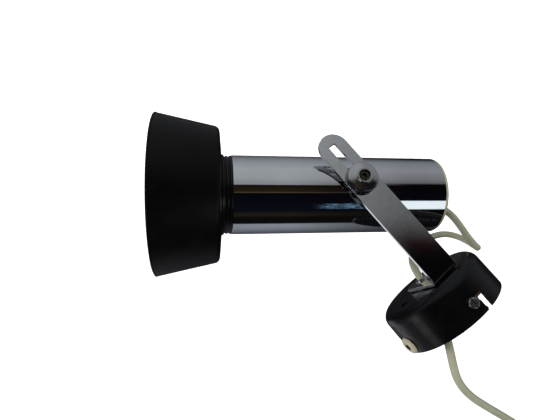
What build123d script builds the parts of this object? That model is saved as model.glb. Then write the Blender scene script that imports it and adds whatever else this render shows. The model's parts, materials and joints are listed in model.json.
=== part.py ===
"""Adjustable spotlight on a slotted swivel arm with a round canopy.

Row frame: the origin is the centre of the canopy's mounting face. +Y points into the wall or ceiling,
the arm stands out along -Y, and the lamp head turns about an axis parallel to +Z. Millimetres.
"""

import os
from math import asin, atan, cos, hypot, pi, radians, sin, tan

from build123d import *

os.makedirs("parts", exist_ok=True)

# ---------------------------------------------------------------- driving dimensions
canopy_radius = 44.5
canopy_height = 33.0
canopy_wall = 1.2
canopy_edge = 8.0  # radius of the rounded front edge
notch_angle = -5.0  # bayonet slot, measured about +Y from +Z
strap_angle = 6.5  # mounting strap and its side screws, measured the same way
notch_width = 4.6
notch_depth = 13.2
side_screw_y = -10.9
vent_radius = 3.5  # round hole through the canopy's front face

strip_width = 25.0
strip_thickness = 2.5
arm_back_z = 33.0
arm_top_y = -171.8
foot_end_z = -11.5
foot_washer = 0.8
knuckle_y = -128.0
slot_width = 6.5
slot_top_y = -162.5
slot_bottom_y = -119.5

tube_radius = 31.75  # a 63.5 mm chromed tube
tube_wall = 1.5
tube_front = 97.0  # distances along the tube are measured from the knuckle, forwards
tube_back = -73.0
head_angle = 52.9  # between the arm's direction (-Y) and the tube's, at rest

hood_rim = 154.5
hood_rim_radius = 63.3
hood_shoulder_radius = 53.6
hood_wall = 1.2

lead_radius = 3.0
lead_offset = 11.0  # how far the lead leaves the rear cap off the tube's axis
core_radius = 0.9
fit_gap = 0.05

# ---------------------------------------------------------------- frames
arm_front_z = arm_back_z + strip_thickness
foot_back_y = -canopy_height - foot_washer
foot_front_y = foot_back_y - strip_thickness

bush_flange = 0.8
saddle_crown = 1.45
tube_z = arm_back_z - fit_gap - bush_flange - fit_gap - saddle_crown - tube_radius

forward = Vector(sin(radians(head_angle)), -cos(radians(head_angle)), 0)
towards_wall = Vector(cos(radians(head_angle)), sin(radians(head_angle)), 0)
knuckle = Vector(0, knuckle_y, tube_z)

tube_axis = Axis(tuple(knuckle), tuple(forward))
# Half-profiles: x runs along the tube, y is the radius.
tube_side = Plane(origin=knuckle, x_dir=forward, z_dir=forward.cross(Vector(0, 0, 1)))
# x runs along the strap, y towards -X, z from the wall into the canopy.
strap_plane = Plane(
    origin=(0, 0, 0),
    x_dir=(sin(radians(strap_angle)), 0, cos(radians(strap_angle))),
    z_dir=(0, -1, 0),
)


def tube_face(along):
    """Plane across the tube, looking forwards, with x pointing up."""
    return Plane(origin=knuckle + forward * along, x_dir=(0, 0, 1), z_dir=forward)


def strap_point(x, y, z):
    return strap_plane.from_local_coords(Vector(x, y, z))


def across_strap(y, z, x=0):
    """Plane across the strap's width, facing along its local y."""
    return Plane(origin=strap_point(x, y, z), x_dir=strap_plane.x_dir, z_dir=strap_plane.y_dir)


def bend_radii(points):
    """Largest arc at each corner that two neighbouring arcs leave room for."""
    points = [Vector(point) for point in points]
    radii = []
    for before, corner, after in zip(points, points[1:], points[2:]):
        shorter = min((corner - before).length, (after - corner).length)
        half_turn = radians((corner - before).get_angle(after - corner)) / 2
        radii.append(0.45 * shorter / tan(half_turn))
    return radii


def route_start(points):
    """Plane across a route at its first point."""
    return Plane(origin=points[0], z_dir=Vector(points[1]) - Vector(points[0]))


def print_route(name, points):
    print(name, "bend radii:", ", ".join(f"{radius:.1f}" for radius in bend_radii(points)))


# ---------------------------------------------------------------- canopy
with BuildPart() as canopy_cover:
    with BuildSketch(Plane.XY):
        with BuildLine():
            front = -canopy_height
            flat_radius = canopy_radius - canopy_edge
            inner_radius = canopy_radius - canopy_wall
            Line((0, front), (flat_radius, front))
            RadiusArc((flat_radius, front), (canopy_radius, front + canopy_edge), -canopy_edge)
            Line((canopy_radius, front + canopy_edge), (canopy_radius, 0))
            Line((canopy_radius, 0), (inner_radius, 0))
            Line((inner_radius, 0), (inner_radius, front + canopy_edge))
            RadiusArc(
                (inner_radius, front + canopy_edge),
                (flat_radius, front + canopy_wall),
                canopy_edge - canopy_wall,
            )
            Line((flat_radius, front + canopy_wall), (0, front + canopy_wall))
            Line((0, front + canopy_wall), (0, front))
        make_face()
    revolve(axis=Axis.Y)
    # nipple hole, a small vent hole, and the hole for the cable grommet
    with BuildSketch(Plane.XZ.offset(canopy_height)):
        Circle(5.08)
        with Locations((27.9, 4.2)):
            Circle(vent_radius)
    extrude(amount=-canopy_wall, mode=Mode.SUBTRACT)
    with BuildSketch(Plane.YZ.offset(canopy_radius - 4)):
        with Locations((-7.4, 0)):
            Circle(5.25)
    extrude(amount=5, mode=Mode.SUBTRACT)
    # two J-shaped bayonet slots, opposite each other
    for side in (0, 180):
        leg_angle = (notch_angle + strap_angle) / 2
        leg_length = canopy_radius * radians(strap_angle - notch_angle) + notch_width
        for angle, width, low, high in (
            (notch_angle, notch_width, notch_depth, -1),
            (leg_angle, leg_length, notch_depth, notch_depth - notch_width),
        ):
            turn = radians(angle + side)
            slot_plane = Plane(
                origin=(0, -(low + high) / 2, 0),
                x_dir=(cos(turn), 0, -sin(turn)),
                z_dir=(sin(turn), 0, cos(turn)),
            )
            with BuildSketch(slot_plane.offset(canopy_radius - 5)):
                Rectangle(width, low - high)
            extrude(amount=8, mode=Mode.SUBTRACT)
canopy_cover.part.label = "canopy_cover"
export_step(canopy_cover.part, "parts/canopy_cover.step")

grommet_y = -7.4
with BuildPart() as entry_grommet:
    with BuildSketch(Plane.XY.offset(0)):
        with BuildLine():
            wall_in = canopy_radius - canopy_wall
            Polyline(
                (wall_in - 2.2, grommet_y + 2.5),
                (wall_in - 2.2, grommet_y + 6.2),
                (wall_in - 0.9, grommet_y + 6.7),
                (wall_in - 0.9, grommet_y + 5.1),
                (canopy_radius + 0.1, grommet_y + 5.1),
                (canopy_radius + 0.1, grommet_y + 7.0),
                (canopy_radius + 1.6, grommet_y + 6.6),
                (canopy_radius + 2.3, grommet_y + 5.4),
                (canopy_radius + 2.3, grommet_y + 2.5),
                close=True,
            )
        make_face()
    revolve(axis=Axis((0, grommet_y, 0), (1, 0, 0)))
entry_grommet.part.label = "entry_grommet"
export_step(entry_grommet.part, "parts/entry_grommet.step")

# ---------------------------------------------------------------- mounting strap and what it carries
strap_thickness = 2.0
strap_half_width = 8.0
ear_outside = 42.2
ear_height = 16.0
wall_hole_pcd = 64.0
wall_hole_radius = 2.25
block_near = 12.5
block_far = 27.5
pole_pitch = 8.0
pole_height = 8.0
clamp_x = 14.0
clamp_screw_spread = 7.0
earth_x = -19.0

with BuildPart() as mounting_strap:
    with BuildSketch(strap_plane):
        Rectangle(2 * ear_outside, 2 * strap_half_width)
        with Locations((0, (block_far + 1) / 2)):
            Rectangle(22, block_far + 1)
    extrude(amount=strap_thickness)
    with BuildSketch(strap_plane):
        for side in (-1, 1):
            with Locations((side * (ear_outside - strap_thickness / 2), 0)):
                Rectangle(strap_thickness, 14)
    extrude(amount=ear_height)
    with BuildSketch(strap_plane):
        with PolarLocations(wall_hole_pcd / 2, 2):
            Circle(wall_hole_radius)
        with Locations((clamp_x - clamp_screw_spread, 0), (clamp_x + clamp_screw_spread, 0)):
            Circle(1.55)
        with Locations((4, 20)):
            Circle(1.55)
        with Locations((earth_x, 0)):
            Circle(2.05)
    extrude(amount=strap_thickness, mode=Mode.SUBTRACT)
    with BuildSketch(Plane(origin=(0, side_screw_y, 0), x_dir=(0, 1, 0), z_dir=strap_plane.x_dir)):
        Circle(2.05)
    extrude(amount=60, both=True, mode=Mode.SUBTRACT)
    ear_tips = mounting_strap.edges().filter_by(Axis(tuple((0, 0, 0)), tuple(strap_plane.x_dir)))
    ear_tips = ear_tips.filter_by(lambda edge: edge.center().Y < -ear_height + 0.1)
    fillet(ear_tips, 4)
mounting_strap.part.label = "mounting_strap"
export_step(mounting_strap.part, "parts/mounting_strap.step")

head_seat = canopy_radius + 0.3
with BuildPart() as side_screws:
    for side in (-1, 1):
        outward = strap_plane.x_dir * side
        seat = Vector(0, side_screw_y, 0) + outward * head_seat
        screw_plane = Plane(origin=seat, x_dir=(0, 1, 0), z_dir=outward)
        with BuildSketch(screw_plane):
            Circle(4.0)
        extrude(amount=2.6)
        with BuildSketch(screw_plane):
            Circle(2.0)
        extrude(amount=-9.5)
        with BuildSketch(screw_plane.offset(1.4)):
            Rectangle(9, 1.1)
        extrude(amount=2, mode=Mode.SUBTRACT)
    circles = side_screws.edges().filter_by(GeomType.CIRCLE)
    head_circles = circles.filter_by(lambda edge: abs(edge.radius - 4.0) < 0.01)
    outer_circles = head_circles.filter_by(
        lambda edge: hypot(edge.center().X, edge.center().Z) > head_seat + 2
    )
    fillet(outer_circles, 0.9)
side_screws.part.label = "side_screws"
export_step(side_screws.part, "parts/side_screws.step")

block_middle = (block_near + block_far) / 2
pole_xs = [-pole_pitch, 0, pole_pitch]
screw_ys = [block_near + 3.6, block_far - 3.6]
with BuildPart() as terminal_block:
    with BuildSketch(strap_plane.offset(strap_thickness)):
        with Locations((0, block_middle)):
            Rectangle(3 * pole_pitch + 1, block_far - block_near - 3)
    extrude(amount=4)
    with BuildSketch(strap_plane.offset(strap_thickness + 2.6)):
        for x in pole_xs:
            with Locations((x, block_middle)):
                Rectangle(6.6, block_far - block_near)
    extrude(amount=6.6)
    with BuildSketch(strap_plane.offset(strap_thickness + 9.2)):
        for x in pole_xs:
            for y in screw_ys:
                with Locations((x, y)):
                    Circle(3.0)
    extrude(amount=2.6)
    with BuildSketch(across_strap(0, pole_height)):
        with Locations(*[(x, 0) for x in pole_xs]):
            Circle(2.15)
    extrude(amount=block_far + 2, mode=Mode.SUBTRACT)
    with BuildSketch(strap_plane.offset(pole_height)):
        for x in pole_xs:
            for y in screw_ys:
                with Locations((x, y)):
                    Circle(1.7)
    extrude(amount=6, mode=Mode.SUBTRACT)
    with BuildSketch(strap_plane):
        with Locations((4, 20)):
            Circle(1.6)
    extrude(amount=20, mode=Mode.SUBTRACT)
terminal_block.part.label = "terminal_block"
export_step(terminal_block.part, "parts/terminal_block.step")

with BuildPart() as terminal_sleeves:
    with BuildSketch(across_strap(block_near + 0.8, pole_height)):
        for x in pole_xs:
            with Locations((x, 0)):
                Circle(2.1)
                Circle(1.5, mode=Mode.SUBTRACT)
    extrude(amount=block_far - block_near - 1.6)
    with BuildSketch(strap_plane.offset(pole_height)):
        for x in pole_xs:
            for y in screw_ys:
                with Locations((x, y)):
                    Circle(1.35)
    extrude(amount=6, mode=Mode.SUBTRACT)
terminal_sleeves.part.label = "terminal_sleeves"
export_step(terminal_sleeves.part, "parts/terminal_sleeves.step")

with BuildPart() as terminal_screws:
    with BuildSketch(strap_plane.offset(pole_height + 1.0)):
        for x in pole_xs:
            for y in screw_ys:
                with Locations((x, y)):
                    Circle(1.3)
    extrude(amount=4.2)
    with BuildSketch(strap_plane.offset(pole_height + 4.4)):
        for x in pole_xs:
            for y in screw_ys:
                with Locations((x, y)):
                    Rectangle(4, 0.6)
    extrude(amount=2, mode=Mode.SUBTRACT)
terminal_screws.part.label = "terminal_screws"
export_step(terminal_screws.part, "parts/terminal_screws.step")

with BuildPart() as block_screw:
    with BuildSketch(strap_plane.offset(strap_thickness + 9.3)):
        with Locations((4, 20)):
            Circle(2.1)
    extrude(amount=1.6)
    with BuildSketch(strap_plane):
        with Locations((4, 20)):
            Circle(1.5)
    extrude(amount=strap_thickness + 9.3)
    with BuildSketch(strap_plane.offset(strap_thickness + 10.1)):
        with Locations((4, 20)):
            Rectangle(5, 0.7)
    extrude(amount=2, mode=Mode.SUBTRACT)
block_screw.part.label = "block_screw"
export_step(block_screw.part, "parts/block_screw.step")

with BuildPart() as earth_screw:
    with BuildSketch(strap_plane.offset(strap_thickness + 1.9)):
        with Locations((earth_x, 0)):
            Circle(3.8)
    extrude(amount=2.4)
    with BuildSketch(strap_plane):
        with Locations((earth_x, 0)):
            Circle(2.0)
    extrude(amount=strap_thickness + 1.9)
    with BuildSketch(strap_plane.offset(strap_thickness + 3.1)):
        with Locations((earth_x, 0)):
            Rectangle(9, 0.9)
            Rectangle(0.9, 9)
    extrude(amount=2, mode=Mode.SUBTRACT)
earth_screw.part.label = "earth_screw"
export_step(earth_screw.part, "parts/earth_screw.step")

# ---------------------------------------------------------------- supply cord, held by a saddle on the strap
supply_height = strap_thickness + lead_radius + 0.1
supply_route = [
    tuple(strap_point(clamp_x, 9.5, supply_height + 0.05)),
    tuple(strap_point(clamp_x, -1.0, supply_height)),
    (13.6, -5.6, 12.9),
    (23.0, -0.4, 17.0),
    (29.6, 8.6, 18.4),
    (34.2, 18.6, 15.0),
    (37.6, 30.6, 9.6),
    (35.6, 46.0, 2.4),
    (28.6, 63.0, -5.6),
    (19.0, 83.0, -15.0),
    (8.6, 105.0, -26.0),
    (-1.4, 128.0, -39.5),
    (-10.0, 150.0, -56.0),
]
print_route("supply cord", supply_route)
with BuildPart() as supply_cord:
    with BuildLine():
        FilletPolyline(*supply_route, radius=bend_radii(supply_route))
    with BuildSketch(route_start(supply_route)):
        Circle(lead_radius)
    sweep()
supply_cord.part.label = "supply_cord"
export_step(supply_cord.part, "parts/supply_cord.step")
supply_length = supply_cord.part.volume / (pi * lead_radius**2)
print("supply cord length", round(supply_length, 1))

# Two or three insulated cores leave each end of a sheath side by side.
core_spread = 1.15
with BuildPart() as supply_tails:
    tail_start = Vector(supply_route[-1])
    tail_way = (tail_start - Vector(supply_route[-2])).normalized()
    tail_plane = Plane(origin=tail_start, z_dir=tail_way)
    with BuildSketch(tail_plane):
        with PolarLocations(core_spread, 3):
            Circle(core_radius)
    extrude(amount=16)
    with BuildSketch(tail_plane.offset(16)):
        with PolarLocations(core_spread, 3):
            Circle(0.55)
    extrude(amount=7)
supply_tails.part.label = "supply_tails"
export_step(supply_tails.part, "parts/supply_tails.step")

clamp_top = supply_height + lead_radius + 1.5
flange_top = strap_thickness + 2.0
clamp_screw_xs = [clamp_x - clamp_screw_spread, clamp_x + clamp_screw_spread]
with BuildPart() as cord_clamp:
    with BuildSketch(across_strap(-4, 0, clamp_x)):
        # local y is the wall direction here, so heights into the canopy are negative
        with BuildLine():
            Polyline(
                (-10, -strap_thickness),
                (-10, -flange_top),
                (-4.6, -flange_top),
                (-3.6, -clamp_top),
                (3.6, -clamp_top),
                (4.6, -flange_top),
                (10, -flange_top),
                (10, -strap_thickness),
                close=True,
            )
        make_face()
        with Locations((0, -supply_height)):
            Circle(lead_radius + fit_gap, mode=Mode.SUBTRACT)
        with Locations((0, -supply_height + 3)):
            Rectangle(2 * (lead_radius + fit_gap), 6, mode=Mode.SUBTRACT)
    extrude(amount=8)
    with BuildSketch(strap_plane):
        with Locations(*[(x, 0) for x in clamp_screw_xs]):
            Circle(1.6)
    extrude(amount=14, mode=Mode.SUBTRACT)
cord_clamp.part.label = "cord_clamp"
export_step(cord_clamp.part, "parts/cord_clamp.step")

with BuildPart() as clamp_screws:
    with BuildSketch(strap_plane.offset(flange_top + fit_gap)):
        with Locations(*[(x, 0) for x in clamp_screw_xs]):
            Circle(2.3)
    extrude(amount=1.7)
    with BuildSketch(strap_plane):
        with Locations(*[(x, 0) for x in clamp_screw_xs]):
            Circle(1.5)
    extrude(amount=flange_top + fit_gap)
    with BuildSketch(strap_plane.offset(flange_top + 0.9)):
        for x in clamp_screw_xs:
            with Locations((x, 0)):
                Rectangle(6, 0.8)
    extrude(amount=2, mode=Mode.SUBTRACT)
clamp_screws.part.label = "clamp_screws"
export_step(clamp_screws.part, "parts/clamp_screws.step")

# ---------------------------------------------------------------- arm, its hollow nipple and nuts
nipple_radius = 5.0
nipple_bore = 3.5
nipple_top = foot_front_y - 1.6
nipple_foot = -26.0
arm_middle_z = arm_back_z + strip_thickness / 2
with BuildPart() as arm_bracket:
    with BuildSketch(Plane.YZ):
        with BuildLine():
            FilletPolyline(
                (arm_top_y, arm_front_z),
                (foot_back_y, arm_front_z),
                (foot_back_y, foot_end_z),
                radius=[3.6],
            )
            FilletPolyline(
                (foot_front_y, foot_end_z),
                (foot_front_y, arm_back_z),
                (arm_top_y, arm_back_z),
                radius=[1.1],
            )
            Line((foot_back_y, foot_end_z), (foot_front_y, foot_end_z))
            Line((arm_top_y, arm_back_z), (arm_top_y, arm_front_z))
        make_face()
    extrude(amount=strip_width / 2, both=True)
    round_end = arm_bracket.edges().filter_by(Axis.Z).group_by(Axis.Y)[0]
    fillet(round_end, strip_width / 2 - 0.02)
    foot_corners = arm_bracket.edges().filter_by(Axis.Y).group_by(Axis.Z)[0]
    chamfer(foot_corners, 5)
    # the slot that the clamp travels in
    with BuildSketch(Plane.XY.offset(arm_back_z - 1)):
        with Locations((0, (slot_top_y + slot_bottom_y) / 2)):
            RectangleRounded(slot_width, slot_bottom_y - slot_top_y, 1.2)
    extrude(amount=strip_thickness + 2, mode=Mode.SUBTRACT)
    with BuildSketch(Plane.XZ.offset(-foot_back_y - 1)):
        Circle(nipple_radius + 0.02)
    extrude(amount=strip_thickness + 2, mode=Mode.SUBTRACT)
arm_bracket.part.label = "arm_bracket"
export_step(arm_bracket.part, "parts/arm_bracket.step")

with BuildPart() as swivel_nipple:
    with BuildSketch(Plane.XZ.offset(-nipple_foot)):
        Circle(nipple_radius)
        Circle(nipple_bore, mode=Mode.SUBTRACT)
    extrude(amount=nipple_foot - nipple_top)
    chamfer(swivel_nipple.edges().filter_by(GeomType.CIRCLE).group_by(Axis.Y)[0], 0.5)
swivel_nipple.part.label = "swivel_nipple"
export_step(swivel_nipple.part, "parts/swivel_nipple.step")

with BuildPart() as swivel_washer:
    with BuildSketch(Plane.XZ.offset(canopy_height + 0.02)):
        Circle(11.0)
        Circle(nipple_radius + 0.1, mode=Mode.SUBTRACT)
    extrude(amount=foot_washer - 0.02)
swivel_washer.part.label = "swivel_washer"
export_step(swivel_washer.part, "parts/swivel_washer.step")

inside_face_y = -canopy_height + canopy_wall
with BuildPart() as spring_washer:
    with BuildSketch(Plane.XZ.offset(-inside_face_y - fit_gap)):
        Circle(9.0)
        Circle(nipple_radius + 0.1, mode=Mode.SUBTRACT)
    extrude(amount=-1.0)
    # internal teeth cut into the bore
    with BuildSketch(Plane.XZ.offset(-inside_face_y - fit_gap)):
        with PolarLocations(nipple_radius + 0.6, 10):
            Rectangle(1.6, 0.9)
    extrude(amount=-1.0, mode=Mode.SUBTRACT)
spring_washer.part.label = "spring_washer"
export_step(spring_washer.part, "parts/spring_washer.step")

with BuildPart() as nipple_nut:
    with BuildSketch(Plane.XZ.offset(-inside_face_y - fit_gap - 1.0)):
        RegularPolygon(7.0, 6, major_radius=False)
        Circle(nipple_radius + 0.02, mode=Mode.SUBTRACT)
    extrude(amount=-3.0)
nipple_nut.part.label = "nipple_nut"
export_step(nipple_nut.part, "parts/nipple_nut.step")

# ---------------------------------------------------------------- what slides along the arm
bolt_radius = 2.5
tongue_length = 16.4
knuckle_plane = Plane(origin=(0, knuckle_y, 0))
knuckle_side = Plane(origin=(0, knuckle_y, 0), x_dir=(0, 1, 0), z_dir=(1, 0, 0))
bolt_axis = Axis((0, knuckle_y, 0), (0, 0, 1))
with BuildPart() as slot_bush:
    with BuildSketch(knuckle_plane.offset(arm_back_z - fit_gap - bush_flange)):
        Circle(9.0)
    extrude(amount=bush_flange)
    with BuildSketch(knuckle_plane.offset(arm_back_z - fit_gap)):
        RectangleRounded(slot_width - 0.1, tongue_length, 1.2)
    extrude(amount=strip_thickness)
    with BuildSketch(knuckle_plane.offset(arm_back_z - 3)):
        Circle(bolt_radius + 0.06)
    extrude(amount=8, mode=Mode.SUBTRACT)
slot_bush.part.label = "slot_bush"
export_step(slot_bush.part, "parts/slot_bush.step")

washer_base = arm_front_z + fit_gap
washer_thickness = 1.0
with BuildPart() as knob_washer:
    with BuildSketch(knuckle_plane.offset(washer_base)):
        Circle(9.5)
        Circle(bolt_radius + 0.1, mode=Mode.SUBTRACT)
    extrude(amount=washer_thickness)
    top_circles = knob_washer.edges().filter_by(GeomType.CIRCLE).group_by(Axis.Z)[-1]
    chamfer(top_circles.sort_by(SortBy.RADIUS)[-1], 0.3)
knob_washer.part.label = "knob_washer"
export_step(knob_washer.part, "parts/knob_washer.step")

# ---------------------------------------------------------------- clamp knob and its socket screw
knob_base = washer_base + washer_thickness + fit_gap
knob_rim = 3.8  # knurled rim's height
knob_height = 6.7
recess_floor = 2.4
knob_radius = 12.0
recess_radius = 4.5
with BuildPart() as clamp_knob:
    with BuildSketch(knuckle_side):
        with BuildLine():
            Polyline(
                (bolt_radius + 0.05, knob_base),
                (knob_radius - 0.5, knob_base),
                (knob_radius, knob_base + 0.5),
                (knob_radius, knob_base + knob_rim - 0.6),
                (knob_radius - 0.6, knob_base + knob_rim),
                (6.1, knob_base + knob_height - 1.1),
                (5.9, knob_base + knob_height - 0.3),
                (5.6, knob_base + knob_height),
                (recess_radius + 0.3, knob_base + knob_height),
                (recess_radius, knob_base + knob_height - 0.3),
                (recess_radius, knob_base + recess_floor),
                (bolt_radius + 0.05, knob_base + recess_floor),
                close=True,
            )
        make_face()
    revolve(axis=bolt_axis)
    # fine straight knurl round the rim
    with BuildSketch(knuckle_plane.offset(knob_base)):
        with PolarLocations(knob_radius + 0.05, 60):
            Rectangle(0.7, 0.45, rotation=45)
    extrude(amount=knob_rim, mode=Mode.SUBTRACT)
clamp_knob.part.label = "clamp_knob"
export_step(clamp_knob.part, "parts/clamp_knob.step")

screw_head_base = knob_base + recess_floor + fit_gap
screw_end_z = 21.5
screw_head_radius = 3.7
screw_head_height = 3.4
with BuildPart() as clamp_screw:
    with BuildSketch(knuckle_plane.offset(screw_head_base)):
        Circle(screw_head_radius)
    extrude(amount=screw_head_height)
    fillet(clamp_screw.edges().filter_by(GeomType.CIRCLE).group_by(Axis.Z)[-1], 0.4)
    with BuildSketch(knuckle_plane.offset(screw_head_base + screw_head_height)):
        RegularPolygon(1.9, 6, major_radius=False)
    extrude(amount=-2.2, mode=Mode.SUBTRACT)
    with BuildSketch(knuckle_plane.offset(screw_end_z)):
        Circle(bolt_radius)
    extrude(amount=screw_head_base - screw_end_z)
    chamfer(clamp_screw.edges().filter_by(GeomType.CIRCLE).group_by(Axis.Z)[0], 0.5)
clamp_screw.part.label = "clamp_screw"
export_step(clamp_screw.part, "parts/clamp_screw.step")

# ---------------------------------------------------------------- lamp head: tube and clamping pieces
bolt_hole_radius = 2.75
with BuildPart() as spot_tube:
    with BuildSketch(tube_face(tube_back)):
        Circle(tube_radius)
        Circle(tube_radius - tube_wall, mode=Mode.SUBTRACT)
    extrude(amount=tube_front - tube_back)
    with BuildSketch(knuckle_plane.offset(tube_z + tube_radius - 6)):
        Circle(bolt_hole_radius)
    extrude(amount=10, mode=Mode.SUBTRACT)
spot_tube.part.label = "spot_tube"
export_step(spot_tube.part, "parts/spot_tube.step")

saddle_top = arm_back_z - 2 * fit_gap - bush_flange
with BuildPart() as saddle_washer:
    with BuildSketch(knuckle_plane.offset(saddle_top - 4)):
        Circle(9.5)
        Circle(bolt_radius + 0.1, mode=Mode.SUBTRACT)
    extrude(amount=4)
    with BuildSketch(tube_face(-20)):
        Circle(tube_radius + 0.02)
    extrude(amount=40, mode=Mode.SUBTRACT)
saddle_washer.part.label = "saddle_washer"
export_step(saddle_washer.part, "parts/saddle_washer.step")

# A strip under the tube's crown carries the lampholder and backs the clamp nut.
holder_back = 16.0
strip_top = tube_z + 29.1
carrier_thickness = 2.0
with BuildPart() as holder_bracket:
    with BuildSketch(tube_side):
        with BuildLine():
            crown = strip_top - tube_z
            FilletPolyline(
                (-9, crown), (holder_back, crown), (holder_back, -15), radius=[3.0]
            )
            FilletPolyline(
                (holder_back - carrier_thickness, -15),
                (holder_back - carrier_thickness, crown - carrier_thickness),
                (-9, crown - carrier_thickness),
                radius=[1.0],
            )
            Line((holder_back, -15), (holder_back - carrier_thickness, -15))
            Line((-9, crown), (-9, crown - carrier_thickness))
        make_face()
    extrude(amount=7, both=True)
    with BuildSketch(knuckle_plane.offset(strip_top - 4)):
        Circle(bolt_hole_radius)
    extrude(amount=8, mode=Mode.SUBTRACT)
    with BuildSketch(tube_face(holder_back - 3)):
        Circle(4.0)
        with Locations((-10.5, 0), (10.5, 0)):
            Circle(1.6)
    extrude(amount=4, mode=Mode.SUBTRACT)
holder_bracket.part.label = "holder_bracket"
export_step(holder_bracket.part, "parts/holder_bracket.step")

with BuildPart() as clamp_nut:
    with BuildSketch(knuckle_plane.offset(strip_top - carrier_thickness - 0.02)):
        RegularPolygon(4.0, 6, major_radius=False)
        Circle(bolt_radius + 0.05, mode=Mode.SUBTRACT)
    extrude(amount=-4)
clamp_nut.part.label = "clamp_nut"
export_step(clamp_nut.part, "parts/clamp_nut.step")

# ---------------------------------------------------------------- rear cap and lead bush
cap_thickness = 2.6
cap_face = tube_back - cap_thickness
cap_skirt = 9.0
with BuildPart() as rear_cap:
    with BuildSketch(tube_side):
        with BuildLine():
            Polyline(
                (cap_face, 0),
                (cap_face, tube_radius - 1.6),
                (cap_face + 0.5, tube_radius - 0.5),
                (cap_face + 1.6, tube_radius),
                (tube_back, tube_radius),
                (tube_back, tube_radius - tube_wall - 0.02),
                (tube_back + cap_skirt, tube_radius - tube_wall - 0.12),
                (tube_back + cap_skirt, tube_radius - tube_wall - 1.6),
                (tube_back, tube_radius - tube_wall - 1.8),
                (tube_back, 0),
                close=True,
            )
        make_face()
    revolve(axis=tube_axis)
    lead_exit = knuckle + towards_wall * lead_offset + forward * tube_back
    lead_exit_plane = Plane(origin=lead_exit, z_dir=-forward)
    with BuildSketch(lead_exit_plane.offset(-1)):
        Circle(5.0)
    extrude(amount=5, mode=Mode.SUBTRACT)
rear_cap.part.label = "rear_cap"
export_step(rear_cap.part, "parts/rear_cap.step")

bush_bore = lead_radius + 0.08
bush_end = cap_thickness + 2.6
lead_exit_axis = Axis(tuple(lead_exit_plane.origin), tuple(-forward))
with BuildPart() as lead_bush:
    with BuildSketch(Plane(origin=lead_exit_plane.origin, x_dir=-forward, z_dir=towards_wall)):
        with BuildLine():
            Polyline(
                (-2.0, bush_bore),
                (-2.0, 5.8),
                (-0.05, 6.3),
                (-0.05, 4.95),
                (cap_thickness + 0.05, 4.95),
                (cap_thickness + 0.05, 6.6),
                (cap_thickness + 1.2, 6.4),
                (bush_end, 4.4),
                (bush_end, bush_bore),
                close=True,
            )
        make_face()
    revolve(axis=lead_exit_axis)
lead_bush.part.label = "lead_bush"
export_step(lead_bush.part, "parts/lead_bush.step")

# ---------------------------------------------------------------- lampholder
holder_length = 40.0
contact_face = 27.0
with BuildPart() as lampholder_body:
    with BuildSketch(tube_side):
        with BuildLine():
            Polyline(
                (holder_back, 0),
                (holder_back, 14.5),
                (holder_back + 1.5, 16),
                (holder_back + 12, 16),
                (holder_back + 14, 19),
                (holder_back + holder_length - 1, 19),
                (holder_back + holder_length, 18),
                (holder_back + holder_length, 14.6),
                (contact_face - 2, 14.6),
                (contact_face - 2, 0),
                close=True,
            )
        make_face()
    revolve(axis=tube_axis)
    with BuildSketch(tube_face(holder_back)):
        with Locations((-10.5, 0), (10.5, 0)):
            Circle(1.55)
    extrude(amount=7, mode=Mode.SUBTRACT)
lampholder_body.part.label = "lampholder_body"
export_step(lampholder_body.part, "parts/lampholder_body.step")

with BuildPart() as lampholder_shell:
    with BuildSketch(tube_face(contact_face - 1.9)):
        Circle(14.5)
        Circle(13.35, mode=Mode.SUBTRACT)
    extrude(amount=holder_back + holder_length - 2 - contact_face)
lampholder_shell.part.label = "lampholder_shell"
export_step(lampholder_shell.part, "parts/lampholder_shell.step")

with BuildPart() as centre_contact:
    with BuildSketch(tube_face(contact_face - 1.98)):
        Rectangle(14, 5)
    extrude(amount=0.6)
    with BuildSketch(tube_face(contact_face - 1.4)):
        Circle(2.6)
    extrude(amount=1.3)
centre_contact.part.label = "centre_contact"
export_step(centre_contact.part, "parts/centre_contact.step")

with BuildPart() as holder_screws:
    with BuildSketch(tube_face(holder_back - carrier_thickness - fit_gap)):
        with Locations((-10.5, 0), (10.5, 0)):
            Circle(2.8)
    extrude(amount=-2)
    with BuildSketch(tube_face(holder_back - carrier_thickness - fit_gap)):
        with Locations((-10.5, 0), (10.5, 0)):
            Circle(1.5)
    extrude(amount=8)
    with BuildSketch(tube_face(holder_back - carrier_thickness - 1.2)):
        for x in (-10.5, 10.5):
            with Locations((x, 0)):
                Rectangle(7, 0.8)
    extrude(amount=-2, mode=Mode.SUBTRACT)
holder_screws.part.label = "holder_screws"
export_step(holder_screws.part, "parts/holder_screws.step")

# ---------------------------------------------------------------- hood
neck_front = 104.6
spigot_length = 12.0
with BuildPart() as hood_collar:
    with BuildSketch(tube_side):
        with BuildLine():
            Polyline(
                (tube_front - spigot_length, 28.4),
                (tube_front - spigot_length, 29.8),
                (tube_front - spigot_length + 1, 30.2),
                (tube_front + fit_gap, 30.2),
                (tube_front + fit_gap, 31.9),
                (tube_front + 0.5, 32.4),
                (tube_front + 1.9, 32.4),
                (tube_front + 2.2, 31.6),
                (tube_front + 3.0, 31.6),
                (tube_front + 3.3, 32.2),
                (tube_front + 4.7, 32.2),
                (tube_front + 5.0, 31.6),
                (tube_front + 5.8, 31.6),
                (tube_front + 6.3, 32.6),
                (neck_front, 33.4),
                (neck_front, 28.4),
                close=True,
            )
        make_face()
    revolve(axis=tube_axis)
hood_collar.part.label = "hood_collar"
export_step(hood_collar.part, "parts/hood_collar.step")

# The shade is spun sheet: a slightly coned back, a rounded shoulder and a flaring skirt with a rolled rim.
shoulder_radius = 4.5
hood_back = neck_front + 0.02
skirt_slope = atan((hood_rim_radius - hood_shoulder_radius) / (hood_rim - 110.0))


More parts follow.
